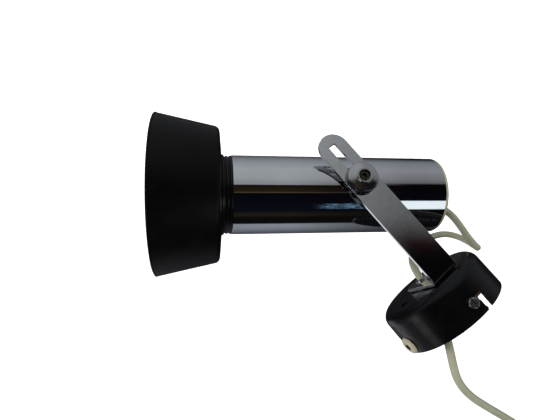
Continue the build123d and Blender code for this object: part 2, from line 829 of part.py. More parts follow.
def shade_outline(inset):
    """Points of the shade's section, moved inwards by the sheet's thickness."""
    back = [(hood_back + inset, 28.4), (106.6 + inset, 53.6 - inset)]
    rim = (hood_rim, hood_rim_radius - inset / cos(skirt_slope))
    return back + [rim]


with BuildPart() as hood_shade:
    with BuildSketch(tube_side):
        with BuildLine():
            FilletPolyline(*shade_outline(0), radius=[shoulder_radius])
            FilletPolyline(*shade_outline(hood_wall), radius=[shoulder_radius - hood_wall])
            Line(shade_outline(0)[0], shade_outline(hood_wall)[0])
            Line(shade_outline(0)[-1], shade_outline(hood_wall)[-1])
        make_face()
    revolve(axis=tube_axis)
    with BuildSketch(tube_side):
        with Locations((hood_rim - 0.9, hood_rim_radius - 0.5)):
            Circle(1.1)
    revolve(axis=tube_axis)
hood_shade.part.label = "hood_shade"
export_step(hood_shade.part, "parts/hood_shade.step")

# ---------------------------------------------------------------- reflector lamp
lamp_cap_radius = 13.25
lamp_front = 142.0
with BuildPart() as lamp_cap:
    with BuildSketch(tube_side):
        with BuildLine():
            Polyline(
                (contact_face + 3.2, 0),
                (contact_face + 3.2, 7.5),
                (contact_face + 5.0, 12.2),
                (contact_face + 6.0, lamp_cap_radius),
                (contact_face + 24.0, lamp_cap_radius),
                (contact_face + 26.0, lamp_cap_radius + 0.05),
                (contact_face + 26.0, 12.2),
                (contact_face + 6.0, 12.2),
                (contact_face + 4.4, 7.0),
                (contact_face + 4.4, 0),
                close=True,
            )
        make_face()
    revolve(axis=tube_axis)
lamp_cap.part.label = "lamp_cap"
export_step(lamp_cap.part, "parts/lamp_cap.step")

with BuildPart() as lamp_contact:
    with BuildSketch(tube_side):
        with BuildLine():
            Polyline(
                (contact_face, 0),
                (contact_face, 3.2),
                (contact_face + 1.2, 5.0),
                (contact_face + 3.18, 7.4),
                (contact_face + 3.18, 0),
                close=True,
            )
        make_face()
    revolve(axis=tube_axis)
lamp_contact.part.label = "lamp_contact"
export_step(lamp_contact.part, "parts/lamp_contact.step")

lamp_neck = 13.2
crown_x = 130.5
crown_radius = 38.2
dome_depth = lamp_front - crown_x
dome_radius = (crown_radius**2 + dome_depth**2) / (2 * dome_depth)
half_dome = asin(crown_radius / dome_radius) / 2
dome_middle = (lamp_front - dome_radius * (1 - cos(half_dome)), dome_radius * sin(half_dome))
with BuildPart() as lamp_glass:
    with BuildSketch(tube_side):
        with BuildLine():
            neck_end = contact_face + 26.1
            Line((neck_end, 0), (neck_end, lamp_neck))
            FilletPolyline(
                (neck_end, lamp_neck),
                (86.0, lamp_neck),
                (123.0, 39.8),
                (crown_x, crown_radius),
                radius=[26.0, 4.0],
            )
            ThreePointArc((crown_x, crown_radius), dome_middle, (lamp_front, 0))
            Line((lamp_front, 0), (neck_end, 0))
        make_face()
    revolve(axis=tube_axis)
lamp_glass.part.label = "lamp_glass"
export_step(lamp_glass.part, "parts/lamp_glass.step")

# ---------------------------------------------------------------- lead from the head to the canopy
inner_lead_end = tube_back + 1.0
lead_route = [
    tuple(knuckle + forward * inner_lead_end + towards_wall * lead_offset),
    tuple(knuckle + forward * (inner_lead_end - 12.6) + towards_wall * lead_offset),
    (-65.0, -56.6, -2.4),
    (-65.6, -44.6, -4.8),
    (-66.2, -32.8, -8.6),
    (-70.0, -22.4, -14.6),
    (-76.8, -15.2, -23.4),
    (-83.8, -14.2, -34.2),
    (-87.2, -22.0, -43.4),
    (-83.2, -33.0, -46.6),
    (-72.0, -42.4, -42.2),
    (-54.6, -49.6, -32.8),
    (-34.6, -54.2, -21.8),
    (-17.0, -55.0, -11.6),
    (-5.4, -50.0, -4.0),
    (0, -38.6, -0.1),
    (0.05, -27.6, 0.05),
    (0, -17.2, 0),
    (0.05, -9.0, 0.05),
]
print_route("lamp lead", lead_route)
with BuildPart() as lamp_lead:
    with BuildLine():
        FilletPolyline(*lead_route, radius=bend_radii(lead_route))
    with BuildSketch(Plane(origin=lead_route[0], z_dir=-forward)):
        Circle(lead_radius)
    sweep()
lamp_lead.part.label = "lamp_lead"
export_step(lamp_lead.part, "parts/lamp_lead.step")
print("lamp lead length", round(lamp_lead.part.volume / (pi * lead_radius**2), 1))


# ---------------------------------------------------------------- insulated cores
core_ways = {-1: 210, 0: 90, 1: 330}  # degrees round the sheath for the wires of the three poles


def core(points):
    """One insulated wire along the given corners."""
    with BuildPart() as wire:
        with BuildLine():
            FilletPolyline(*points, radius=bend_radii(points))
        with BuildSketch(route_start(points)):
            Circle(core_radius)
        sweep()
    return wire.part


def side_by_side(middle, x_way, y_way, side):
    """Where the wire of one pole leaves the end of its sheath."""
    turn = radians(core_ways[side])
    return Vector(*middle) + (x_way * cos(turn) + y_way * sin(turn)) * core_spread


lead_core_parts = []
for side in (-1, 0, 1):
    start = side_by_side(lead_route[-1], strap_plane.x_dir, strap_plane.y_dir, side) + Vector(0, fit_gap, 0)
    lowest = strap_thickness + (3.3 if side else 3.8)
    lead_core_parts.append(
        core(
            [
                tuple(start),
                tuple(Vector(start.X, -lowest, start.Z)),
                tuple(strap_point(5.0 * side, 6.2, lowest - 0.1)),
                tuple(strap_point(pole_pitch * side, 10.2, pole_height - 0.2)),
                tuple(strap_point(pole_pitch * side, block_near + 2.6, pole_height)),
            ]
        )
    )
with BuildPart() as lead_cores:
    add(lead_core_parts)
lead_cores.part.label = "lead_cores"
export_step(lead_cores.part, "parts/lead_cores.step")

# The supply wires pass the block's end and enter it from the far side, the furthest pole's outermost.
sheath_way = (Vector(*supply_route[0]) - Vector(*supply_route[1])).normalized()
supply_core_parts = []
for side in (-1, 0, 1):
    start = side_by_side(supply_route[0], -strap_plane.x_dir, Vector(0, -1, 0), side) + sheath_way * fit_gap
    out = 2.8 * (1 - side)
    beyond = 3.0 * (1 - side)
    height = pole_height + 0.9 * (1 - side)
    supply_core_parts.append(
        core(
            [
                tuple(start),
                tuple(start + sheath_way * 3.6),
                tuple(strap_point(15.4 + out, 18.0, 5.1 + 0.3 * side + (1.6 if side == 0 else 0))),
                tuple(strap_point(15.2 + out, 25.0 + beyond, height - 0.6)),
                tuple(strap_point(12.6 + out, 29.6 + beyond, height)),
                tuple(strap_point(pole_pitch * side + 2.4, 31.4 + beyond, height)),
                tuple(strap_point(pole_pitch * side, 29.0 + beyond, pole_height)),
                tuple(strap_point(pole_pitch * side, block_far - 2.6, pole_height + 0.1)),
            ]
        )
    )
with BuildPart() as supply_cores:
    add(supply_core_parts)
supply_cores.part.label = "supply_cores"
export_step(supply_cores.part, "parts/supply_cores.step")

holder_wire_parts = []
for side in (-1, 0, 1):
    start = side_by_side(lead_route[0], Vector(0, 0, 1), towards_wall, side) + forward * fit_gap
    rise = Vector(0, 0, 6.0 * side)
    holder_wire_parts.append(
        core(
            [
                tuple(start),
                tuple(start + forward * 14),
                tuple(knuckle + forward * -38 + towards_wall * 9.0 + rise * 0.4),
                tuple(knuckle + forward * -14 + towards_wall * 9.4 + rise * 0.8),
                tuple(knuckle + forward * 3 + towards_wall * 11.2 + rise),
                tuple(knuckle + forward * (holder_back - fit_gap) + towards_wall * 11.4 + rise),
            ]
        )
    )
with BuildPart() as holder_wires:
    add(holder_wire_parts)
holder_wires.part.label = "holder_wires"
export_step(holder_wires.part, "parts/holder_wires.step")
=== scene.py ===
import json
from math import cos, pi, radians, sin

import bpy
from mathutils import Matrix, Vector


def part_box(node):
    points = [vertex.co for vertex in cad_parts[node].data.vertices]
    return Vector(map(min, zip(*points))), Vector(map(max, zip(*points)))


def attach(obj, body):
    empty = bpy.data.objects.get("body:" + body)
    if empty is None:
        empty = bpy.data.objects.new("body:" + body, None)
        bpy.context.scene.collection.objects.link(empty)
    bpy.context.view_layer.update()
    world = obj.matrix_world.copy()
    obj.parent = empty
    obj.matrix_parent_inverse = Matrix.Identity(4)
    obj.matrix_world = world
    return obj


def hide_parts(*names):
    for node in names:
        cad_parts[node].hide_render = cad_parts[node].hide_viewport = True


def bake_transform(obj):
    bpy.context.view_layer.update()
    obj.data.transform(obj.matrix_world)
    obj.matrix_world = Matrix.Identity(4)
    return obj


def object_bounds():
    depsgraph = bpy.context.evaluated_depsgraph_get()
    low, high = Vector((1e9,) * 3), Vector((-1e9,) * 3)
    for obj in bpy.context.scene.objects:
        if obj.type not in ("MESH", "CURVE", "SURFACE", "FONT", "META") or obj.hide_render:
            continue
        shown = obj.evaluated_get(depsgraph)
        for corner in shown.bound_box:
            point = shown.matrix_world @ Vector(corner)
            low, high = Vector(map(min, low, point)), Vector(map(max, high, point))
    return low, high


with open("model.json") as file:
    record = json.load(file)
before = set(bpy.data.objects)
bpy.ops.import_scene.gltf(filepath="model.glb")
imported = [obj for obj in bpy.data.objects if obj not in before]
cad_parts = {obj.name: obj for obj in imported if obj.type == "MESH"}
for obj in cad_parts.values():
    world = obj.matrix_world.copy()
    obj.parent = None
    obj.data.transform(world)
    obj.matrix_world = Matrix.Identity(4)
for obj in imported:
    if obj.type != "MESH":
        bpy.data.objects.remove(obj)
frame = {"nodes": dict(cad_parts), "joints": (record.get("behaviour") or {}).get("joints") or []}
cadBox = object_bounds()
bpy.context.scene.view_settings.view_transform = "Standard"

# the places that everything else is measured from
joints = {joint["name"]: joint for joint in frame["joints"]}
tubeLow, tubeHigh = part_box("spot_tube")
headWay = Vector(joints["bulb_withdraw"]["axis"]).normalized()  # along the tube, towards the hood
knuckle = Vector(joints["spot_tilt"]["pos_m"])
knuckle.z = (tubeLow.z + tubeHigh.z) / 2
mm = 0.001

camera = {
    "place": (0.1584, -0.1084, 0.3084),
    "way": (-0.317, -0.134, -0.939),
    "up": (-0.579, -0.757, 0.303),
    "lens": 26.07,
}


def makeCamera():
    way = Vector(camera["way"]).normalized()
    right = way.cross(Vector(camera["up"])).normalized()
    up = right.cross(way)
    data = bpy.data.cameras.new("camera")
    data.lens = camera["lens"]
    data.sensor_width = 36
    data.clip_start = 0.01
    eye = bpy.data.objects.new("camera", data)
    bpy.context.collection.objects.link(eye)
    turn = Matrix((right, up, -way)).transposed().to_4x4()
    eye.matrix_world = Matrix.Translation(camera["place"]) @ turn
    bpy.context.scene.camera = eye


makeCamera()
print("camera placed")


# materials: small helpers first, then one call for each finish
def newMaterial(name):
    material = bpy.data.materials.new(name)
    material.use_nodes = True
    nodes = material.node_tree.nodes
    return material, nodes, material.node_tree.links, nodes["Principled BSDF"]


def grain(nodes, links, scale, detail=4.0):
    place = nodes.new("ShaderNodeTexCoord")
    noise = nodes.new("ShaderNodeTexNoise")
    noise.inputs["Scale"].default_value = scale
    noise.inputs["Detail"].default_value = detail
    links.new(place.outputs["Object"], noise.inputs["Vector"])
    return noise.outputs["Fac"]


def spread(nodes, links, value, low, high, fromLow=0.3, fromHigh=0.7):
    mapRange = nodes.new("ShaderNodeMapRange")
    mapRange.inputs["From Min"].default_value = fromLow
    mapRange.inputs["From Max"].default_value = fromHigh
    mapRange.inputs["To Min"].default_value = low
    mapRange.inputs["To Max"].default_value = high
    links.new(value, mapRange.inputs["Value"])
    return mapRange.outputs["Result"]


def tones(nodes, links, value, colours, places=(0.3, 0.7)):
    ramp = nodes.new("ShaderNodeValToRGB")
    for element, colour, place in zip(ramp.color_ramp.elements, colours, places):
        element.color = (*colour, 1)
        element.position = place
    links.new(value, ramp.inputs["Fac"])
    return ramp.outputs["Color"]


def addBump(nodes, links, shader, height, strength, distance):
    bump = nodes.new("ShaderNodeBump")
    bump.inputs["Strength"].default_value = strength
    bump.inputs["Distance"].default_value = distance
    links.new(height, bump.inputs["Height"])
    links.new(bump.outputs["Normal"], shader.inputs["Normal"])


def makeFinish(name, colours, rough, metallic=0.0, toneScale=60, bump=None, shine=0.5):
    material, nodes, links, shader = newMaterial(name)
    shader.inputs["Metallic"].default_value = metallic
    shader.inputs["Specular IOR Level"].default_value = shine
    blotches = grain(nodes, links, toneScale)
    links.new(tones(nodes, links, blotches, colours), shader.inputs["Base Color"])
    fine = grain(nodes, links, toneScale * 4)
    links.new(spread(nodes, links, fine, *rough), shader.inputs["Roughness"])
    if bump:
        strength, scale, distance = bump
        height = grain(nodes, links, scale, 3.0)
        addBump(nodes, links, shader, height, strength, distance)
    return material


chrome = makeFinish(
    "chromePlate",
    [(0.74, 0.76, 0.78), (0.82, 0.83, 0.85)],
    (0.035, 0.075),
    metallic=1.0,
    toneScale=35,
    bump=(0.05, 90, 0.0004),
)
armPlate = makeFinish(
    "armPlate",
    [(0.7, 0.71, 0.72), (0.78, 0.79, 0.8)],
    (0.045, 0.085),
    metallic=1.0,
    toneScale=260,
    bump=(0.035, 420, 0.0002),
)
hoodEnamel = makeFinish(
    "hoodEnamel",
    [(0.0016, 0.0013, 0.0012), (0.0028, 0.0024, 0.0022)],
    (0.34, 0.46),
    toneScale=40,
    bump=(0.12, 900, 0.0002),
    shine=0.17,
)
canopyEnamel = makeFinish(
    "canopyEnamel",
    [(0.0018, 0.0018, 0.0022), (0.003, 0.003, 0.0035)],
    (0.24, 0.34),
    toneScale=50,
    bump=(0.1, 700, 0.0002),
    shine=0.3,
)
collarPlastic = makeFinish(
    "collarPlastic",
    [(0.003, 0.003, 0.0032), (0.006, 0.006, 0.0065)],
    (0.16, 0.26),
    toneScale=120,
    shine=0.35,
)
ivory = makeFinish(
    "ivoryMoulding",
    [(0.36, 0.36, 0.23), (0.44, 0.435, 0.29)],
    (0.4, 0.55),
    toneScale=70,
    bump=(0.15, 500, 0.0002),
)
sheath = makeFinish(
    "leadSheath",
    [(0.39, 0.385, 0.27), (0.47, 0.465, 0.34)],
    (0.34, 0.48),
    toneScale=45,
    bump=(0.2, 260, 0.0003),
)
zinc = makeFinish(
    "zincPlate",
    [(0.5, 0.5, 0.49), (0.66, 0.66, 0.66)],
    (0.24, 0.42),
    metallic=1.0,
    toneScale=160,
    bump=(0.2, 700, 0.0002),
)
screwSteel = makeFinish(
    "screwSteel",
    [(0.36, 0.35, 0.33), (0.55, 0.54, 0.52)],
    (0.2, 0.36),
    metallic=1.0,
    toneScale=220,
)
# near-black base colour: painted shade standing in for the dark bore, laid over the whole clamp screw, ring
# top too
boreShadeSteel = makeFinish(
    "boreShadeSteel",
    [(0.035, 0.031, 0.022), (0.13, 0.12, 0.09)],
    (0.1, 0.2),
    metallic=1.0,
    toneScale=260,
)
nylon = makeFinish(
    "naturalNylon",
    [(0.55, 0.54, 0.48), (0.64, 0.63, 0.57)],
    (0.38, 0.5),
    toneScale=120,
)
brass = makeFinish(
    "plainBrass",
    [(0.62, 0.44, 0.16), (0.74, 0.55, 0.24)],
    (0.22, 0.36),
    metallic=1.0,
    toneScale=150,
)
whiteBlock = makeFinish(
    "blockMoulding",
    [(0.7, 0.69, 0.64), (0.78, 0.77, 0.73)],
    (0.35, 0.45),
    toneScale=120,
)
phenolic = makeFinish(
    "holderMoulding",
    [(0.012, 0.009, 0.008), (0.022, 0.017, 0.015)],
    (0.22, 0.34),
    toneScale=100,
)
nickel = makeFinish(
    "nickelPlate",
    [(0.55, 0.53, 0.48), (0.66, 0.64, 0.59)],
    (0.2, 0.32),
    metallic=1.0,
    toneScale=130,
)
insulation = makeFinish(
    "coreInsulation",
    [(0.07, 0.028, 0.012), (0.13, 0.055, 0.026)],
    (0.4, 0.5),
    toneScale=60,
)


# a grommet with painted shade inside its bore: a dark ring round the hole, ivory rubber outside it
grommet = {
    "bore": 2.5 * mm,
    "boreShadeColour": (0.035, 0.016, 0.008),
    "rubberColour": (0.46, 0.42, 0.3),
    "rough": (0.48, 0.64),
    "grainScale": 560,
}


def grommetRubberBoreShade():
    material, nodes, links, shader = newMaterial("grommetRubberBoreShade")
    low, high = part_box("entry_grommet")
    centre = (Vector(low) + Vector(high)) / 2
    bore = grommet["bore"]
    place = nodes.new("ShaderNodeTexCoord")
    offset = nodes.new("ShaderNodeVectorMath")
    offset.operation = "SUBTRACT"
    offset.inputs[1].default_value = centre
    across = nodes.new("ShaderNodeVectorMath")
    across.operation = "MULTIPLY"
    across.inputs[1].default_value = (0, 1, 1)
    radius = nodes.new("ShaderNodeVectorMath")
    radius.operation = "LENGTH"
    links.new(place.outputs["Object"], offset.inputs[0])
    links.new(offset.outputs[0], across.inputs[0])
    links.new(across.outputs[0], radius.inputs[0])
    # 0 inside the bore, where the painted shade goes, and 1 on the rubber
    rubber = spread(nodes, links, radius.outputs["Value"], 0.0, 1.0, bore, bore * 1.12)
    colour = tones(nodes, links, rubber, [grommet["boreShadeColour"], grommet["rubberColour"]], (0, 1))
    links.new(colour, shader.inputs["Base Color"])
    fine = grain(nodes, links, grommet["grainScale"])
    links.new(spread(nodes, links, fine, *grommet["rough"]), shader.inputs["Roughness"])
    addBump(nodes, links, shader, fine, 0.2, 0.0002)
    return material


# insulated wires whose ends are stripped to the copper
strippedEnds = {
    "bareFrom": 14 * mm,
    "insulationColour": (0.1, 0.042, 0.02),
    "copperColour": (0.76, 0.38, 0.22),
    "rough": (0.28, 0.44),
}


def strippedWire(start, way):
    material, nodes, links, shader = newMaterial("strippedWire")
    place = nodes.new("ShaderNodeTexCoord")
    along = nodes.new("ShaderNodeVectorMath")
    along.operation = "DOT_PRODUCT"
    along.inputs[1].default_value = way
    links.new(place.outputs["Object"], along.inputs[0])
    edge = start.dot(way) + strippedEnds["bareFrom"]
    bare = spread(nodes, links, along.outputs["Value"], 0.0, 1.0, edge - 0.2 * mm, edge + 0.2 * mm)
    wire = [strippedEnds["insulationColour"], strippedEnds["copperColour"]]
    links.new(tones(nodes, links, bare, wire, (0, 1)), shader.inputs["Base Color"])
    links.new(spread(nodes, links, bare, 0.0, 1.0, 0, 1), shader.inputs["Metallic"])
    fine = grain(nodes, links, 400)
    links.new(spread(nodes, links, fine, *strippedEnds["rough"]), shader.inputs["Roughness"])
    return material


# the knob: fine rings left by the lathe, about the clamp screw
knobRings = {
    "scale": 420,
    "distortion": 0.6,
    "colours": [(0.5, 0.5, 0.5), (0.74, 0.74, 0.73)],
    "rough": (0.16, 0.28),
    "bump": 0.08,
}


def turnedAlloy():
    material, nodes, links, shader = newMaterial("turnedAlloy")
    place = nodes.new("ShaderNodeTexCoord")
    mapping = nodes.new("ShaderNodeMapping")
    mapping.inputs["Location"].default_value = (-knuckle.x, -knuckle.y, 0)
    rings = nodes.new("ShaderNodeTexWave")
    rings.wave_type = "RINGS"
    rings.rings_direction = "Z"
    rings.inputs["Scale"].default_value = knobRings["scale"]
    rings.inputs["Distortion"].default_value = knobRings["distortion"]
    rings.inputs["Detail"].default_value = 2.0
    links.new(place.outputs["Object"], mapping.inputs["Vector"])
    links.new(mapping.outputs["Vector"], rings.inputs["Vector"])
    shader.inputs["Metallic"].default_value = 1.0
    colour = tones(nodes, links, rings.outputs["Fac"], knobRings["colours"], (0.1, 0.9))
    links.new(colour, shader.inputs["Base Color"])
    rough = spread(nodes, links, grain(nodes, links, 300), *knobRings["rough"])
    links.new(rough, shader.inputs["Roughness"])
    addBump(nodes, links, shader, rings.outputs["Fac"], knobRings["bump"], 0.1 * mm)
    return material


# the bulb: silvered bowl behind, frosted dome in front
bulb = {
    "silverEnds": 126 * mm,  # along the tube from the clamp screw
    "silverColour": (0.7, 0.7, 0.72),
    "frostColour": (0.78, 0.79, 0.78),
    "rough": (0.22, 0.42),
    "frostScale": 900,
}


def reflectorGlass():
    material, nodes, links, shader = newMaterial("reflectorGlass")
    place = nodes.new("ShaderNodeTexCoord")
    along = nodes.new("ShaderNodeVectorMath")
    along.operation = "DOT_PRODUCT"
    along.inputs[1].default_value = headWay
    links.new(place.outputs["Object"], along.inputs[0])
    edge = knuckle.dot(headWay) + bulb["silverEnds"]
    front = spread(nodes, links, along.outputs["Value"], 0.0, 1.0, edge - 0.6 * mm, edge + 0.6 * mm)
    colour = tones(nodes, links, front, [bulb["silverColour"], bulb["frostColour"]], (0, 1))
    links.new(colour, shader.inputs["Base Color"])
    links.new(spread(nodes, links, front, 1.0, 0.0, 0, 1), shader.inputs["Metallic"])
    frost = grain(nodes, links, bulb["frostScale"])
    links.new(spread(nodes, links, frost, *bulb["rough"]), shader.inputs["Roughness"])
    addBump(nodes, links, shader, frost, 0.25, 0.2 * mm)
    return material


rubberIvory = grommetRubberBoreShade()
knobAlloy = turnedAlloy()
bulbGlass = reflectorGlass()
print("materials made")

cadFinishes = {
    canopyEnamel: ["canopy_cover"],
    ivory: ["rear_cap", "lead_bush"],
    rubberIvory: ["entry_grommet"],
    armPlate: ["arm_bracket"],
    zinc: [
        "mounting_strap", "side_screws", "earth_screw", "cord_clamp", "clamp_screws", "holder_bracket",
        "holder_screws", "nipple_nut", "swivel_washer", "spring_washer", "clamp_nut", "swivel_nipple",
    ],
    screwSteel: ["block_screw", "terminal_screws"],
    boreShadeSteel: ["clamp_screw"],
    knobAlloy: ["clamp_knob"],
    nylon: ["slot_bush", "saddle_washer", "knob_washer"],
    brass: ["terminal_sleeves", "centre_contact", "lamp_contact"],
    whiteBlock: ["terminal_block"],
    phenolic: ["lampholder_body"],
    nickel: ["lampholder_shell", "lamp_cap"],
    insulation: ["supply_cores", "lead_cores", "holder_wires"],
    bulbGlass: ["lamp_glass"],
}


def paint(piece, material):
    piece.data.materials.clear()
    piece.data.materials.append(material)


def paintCadNode(name, material):
    for holder in frame["nodes"][name].material_slots:
        holder.material = material


for material, names in cadFinishes.items():
    for name in names:
        paintCadNode(name, material)
print("carried-over pieces painted")


# cords: the routes are listed points, in metres
supplyCord = {
    "diameter": 0.006,
    "length": 0.2125,
    "route": [
        (-0.00785, -0.00515, 0.01499),
        (0.00258, -0.0051, 0.0138),
        (0.0136, -0.0056, 0.0129),
        (0.023, -0.0004, 0.017),
        (0.0296, 0.0086, 0.0184),
        (0.0342, 0.0186, 0.015),
        (0.0376, 0.0306, 0.0096),
        (0.0356, 0.046, 0.0024),
        (0.0286, 0.063, -0.0056),
        (0.019, 0.083, -0.015),
        (0.0086, 0.105, -0.026),
        (-0.0014, 0.128, -0.0395),
        (-0.01, 0.15, -0.056),
    ],
}
lampLead = {
    "diameter": 0.006,
    "length": 0.2468,
    "route": [
        (-0.0508, -0.0758, -0.0011),
        (-0.06084, -0.0682, -0.0011),
        (-0.065, -0.0566, -0.0024),
        (-0.0656, -0.0446, -0.0048),
        (-0.0662, -0.0328, -0.0086),
        (-0.07, -0.0224, -0.0146),
        (-0.0768, -0.0152, -0.0234),
        (-0.0838, -0.0142, -0.0342),
        (-0.0872, -0.022, -0.0434),
        (-0.0832, -0.033, -0.0466),
        (-0.072, -0.0424, -0.0422),
        (-0.0546, -0.0496, -0.0328),
        (-0.0346, -0.0542, -0.0218),
        (-0.017, -0.055, -0.0116),
        (-0.0054, -0.05, -0.004),
        (0.0, -0.0386, -0.0001),
        (0.00005, -0.0276, 0.00005),
        (0.0, -0.0172, 0.0),
        (0.00005, -0.009, 0.00005),
    ],
    "bendFrom": (0.0, -0.0386, 0.0),
    "bendTo": (-0.0171, -0.0727, 0.0239),
}


def cordCurve(name, points, diameter):
    data = bpy.data.curves.new(name, "CURVE")
    data.dimensions = "3D"
    data.resolution_u = 10
    spline = data.splines.new("NURBS")
    spline.points.add(len(points) - 1)
    for point, place in zip(spline.points, points):
        point.co = (*place, 1)
    spline.order_u = 3
    spline.use_endpoint_u = True
    data.bevel_depth = diameter / 2
    data.bevel_resolution = 7
    data.use_fill_caps = True
    piece = bpy.data.objects.new(name, data)
    bpy.context.collection.objects.link(piece)
    return piece


def splinePath(piece):
    depth = piece.data.bevel_depth
    piece.data.bevel_depth = 0
    bpy.context.view_layer.update()
    line = bpy.data.meshes.new_from_object(piece.evaluated_get(bpy.context.evaluated_depsgraph_get()))
    path = [vertex.co.copy() for vertex in line.vertices]
    bpy.data.meshes.remove(line)
    piece.data.bevel_depth = depth
    bpy.context.view_layer.update()
    return path


def makeSupplyCord():
    beforeEnd, end = [Vector(point) for point in supplyCord["route"][-2:]]
    paintCadNode("supply_tails", strippedWire(end, (end - beforeEnd).normalized()))
    cord = cordCurve("supplyCord", supplyCord["route"], supplyCord["diameter"])
    cord.data.materials.append(sheath)
    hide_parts("supply_cord")
    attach(cord, "bracket")


def makeLampLead():
    line = cordCurve("lampLeadLine", lampLead["route"], lampLead["diameter"])
    path = splinePath(line)
    mesh = bpy.data.meshes.new_from_object(line.evaluated_get(bpy.context.evaluated_depsgraph_get()))
    mesh.name = "lampLead"
    bpy.data.objects.remove(line)
    lead = bpy.data.objects.new("lampLead", mesh)
    bpy.context.collection.objects.link(lead)
    paint(lead, sheath)
    for face in mesh.polygons:
        face.use_smooth = True
    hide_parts("lamp_lead")
    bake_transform(lead)


makeSupplyCord()
makeLampLead()
print("cords laid")


# turned pieces: a circle, extruded and scaled ring by ring, then put on its axis
def deselectAll():
    if bpy.context.object and bpy.context.object.mode != "OBJECT":
        bpy.ops.object.mode_set(mode="OBJECT")
    bpy.ops.object.select_all(action="DESELECT")


def placeOnAxis(piece, origin, way):
    side = Vector((0, 0, 1))  # every way here is level
    turn = Matrix((side, way.cross(side), way)).transposed().to_4x4()
    piece.matrix_world = Matrix.Translation(origin) @ turn
    bpy.ops.object.transform_apply(location=True, rotation=True, scale=True)


def turned(name, steps, origin, way, segments, smoothAngle=30):
    deselectAll()
    along, radius = steps[0]
    bpy.ops.mesh.primitive_circle_add(vertices=segments, radius=radius, location=(0, 0, along))
    piece = bpy.context.object
    piece.name = name
    bpy.ops.object.transform_apply(location=True)
    bpy.ops.object.mode_set(mode="EDIT")
    bpy.ops.mesh.select_all(action="SELECT")
    for (lastAlong, lastRadius), (along, radius) in zip(steps, steps[1:]):
        bpy.ops.mesh.extrude_region_move(TRANSFORM_OT_translate={"value": (0, 0, along - lastAlong)})
        if abs(radius - lastRadius) > 1e-7:
            scale = radius / lastRadius
            bpy.ops.transform.resize(value=(scale, scale, 1), center_override=(0, 0, along))
    bpy.ops.mesh.select_all(action="SELECT")
    bpy.ops.mesh.remove_doubles(threshold=0.000002)
    bpy.ops.mesh.normals_make_consistent(inside=False)
    bpy.ops.object.mode_set(mode="OBJECT")
    placeOnAxis(piece, origin, way)
    bpy.ops.object.shade_smooth_by_angle(angle=radians(smoothAngle))
    return piece


def softenEdges(piece, width, segments=3, angle=35):
    deselectAll()
    piece.select_set(True)
    bpy.context.view_layer.objects.active = piece
    bevel = piece.modifiers.new("bevel", "BEVEL")
    bevel.width = width
    bevel.segments = segments
    bevel.limit_method = "ANGLE"
    bevel.use_clamp_overlap = False
    bevel.angle_limit = radians(angle)
    bpy.ops.object.modifier_apply(modifier=bevel.name)
    bpy.ops.object.shade_smooth_by_angle(angle=radians(30))


bodyTube = {"radius": 31.75 * mm, "wall": 1.5 * mm, "back": -73 * mm, "front": 97 * mm}


def makeBodyTube():
    outside = bodyTube["radius"]
    inside = outside - bodyTube["wall"]
    back, front = bodyTube["back"], bodyTube["front"]
    steps = [(back, inside), (back, outside), (front, outside), (front, inside), (back, inside)]
    tube = turned("bodyTube", steps, knuckle, headWay, segments=256)
    softenEdges(tube, 0.25 * mm)
    paint(tube, chrome)
    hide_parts("spot_tube")
    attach(tube, "spot")


collar = {
    "front": 104.6 * mm,
    "bore": 28.4 * mm,
    "spigot": 30.2 * mm,  # the part that sits in the tube
    "spigotLength": 12 * mm,
    "spigotLead": 0.4 * mm,
    "ribs": [(0.05, 31.1), (0.5, 31.5), (1.9, 31.5), (2.2, 30.7), (3.0, 30.7), (3.3, 31.3), (4.7, 31.3)],
    "neck": [(5.0, 30.7), (5.8, 30.7), (6.3, 31.8)],
    "shoulder": 32.5 * mm,
}


def makeHoodCollar():
    start = bodyTube["front"]
    bore = collar["bore"]
    spigot = collar["spigot"]
    tip = start - collar["spigotLength"]
    steps = [(tip, bore), (tip, spigot - collar["spigotLead"]), (tip + mm, spigot)]
    steps += [(start + 0.05 * mm, spigot)]
    steps += [(start + along * mm, radius * mm) for along, radius in collar["ribs"] + collar["neck"]]
    steps += [(collar["front"], collar["shoulder"]), (collar["front"], bore), steps[0]]
    piece = turned("hoodCollar", steps, knuckle, headWay, segments=192)
    softenEdges(piece, 0.18 * mm)
    paint(piece, collarPlastic)
    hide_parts("hood_collar")
    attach(piece, "spot")


# the hood: a sheet that turns out at the shoulder and ends in a rolled lip
hood = {
    "back": (104.62 * mm, 28.4 * mm),
    "shoulder": (106.6 * mm, 53.6 * mm),
    "rim": (154.5 * mm, 63.3 * mm),
    "shoulderBend": 4.5 * mm,
    "sheet": 1.2 * mm,
    "roll": 0.8 * mm,
    "rollSweep": 300,  # degrees
    "rollSteps": 12,
}


def roundCorner(before, corner, after, bend, count=8):
    corner, before, after = Vector(corner), Vector(before), Vector(after)
    wayIn = (corner - before).normalized()
    wayOut = (after - corner).normalized()
    turn = wayIn.angle(wayOut)
    reach = bend * sin(turn / 2) / cos(turn / 2)
    start = corner - wayIn * reach
    middle = start + Vector((wayIn.y, -wayIn.x)) * bend
    points = []
    for number in range(count + 1):
        angle = turn * number / count
        spoke = Matrix.Rotation(-angle, 2) @ (start - middle)
        points.append(tuple(middle + spoke))
    return points


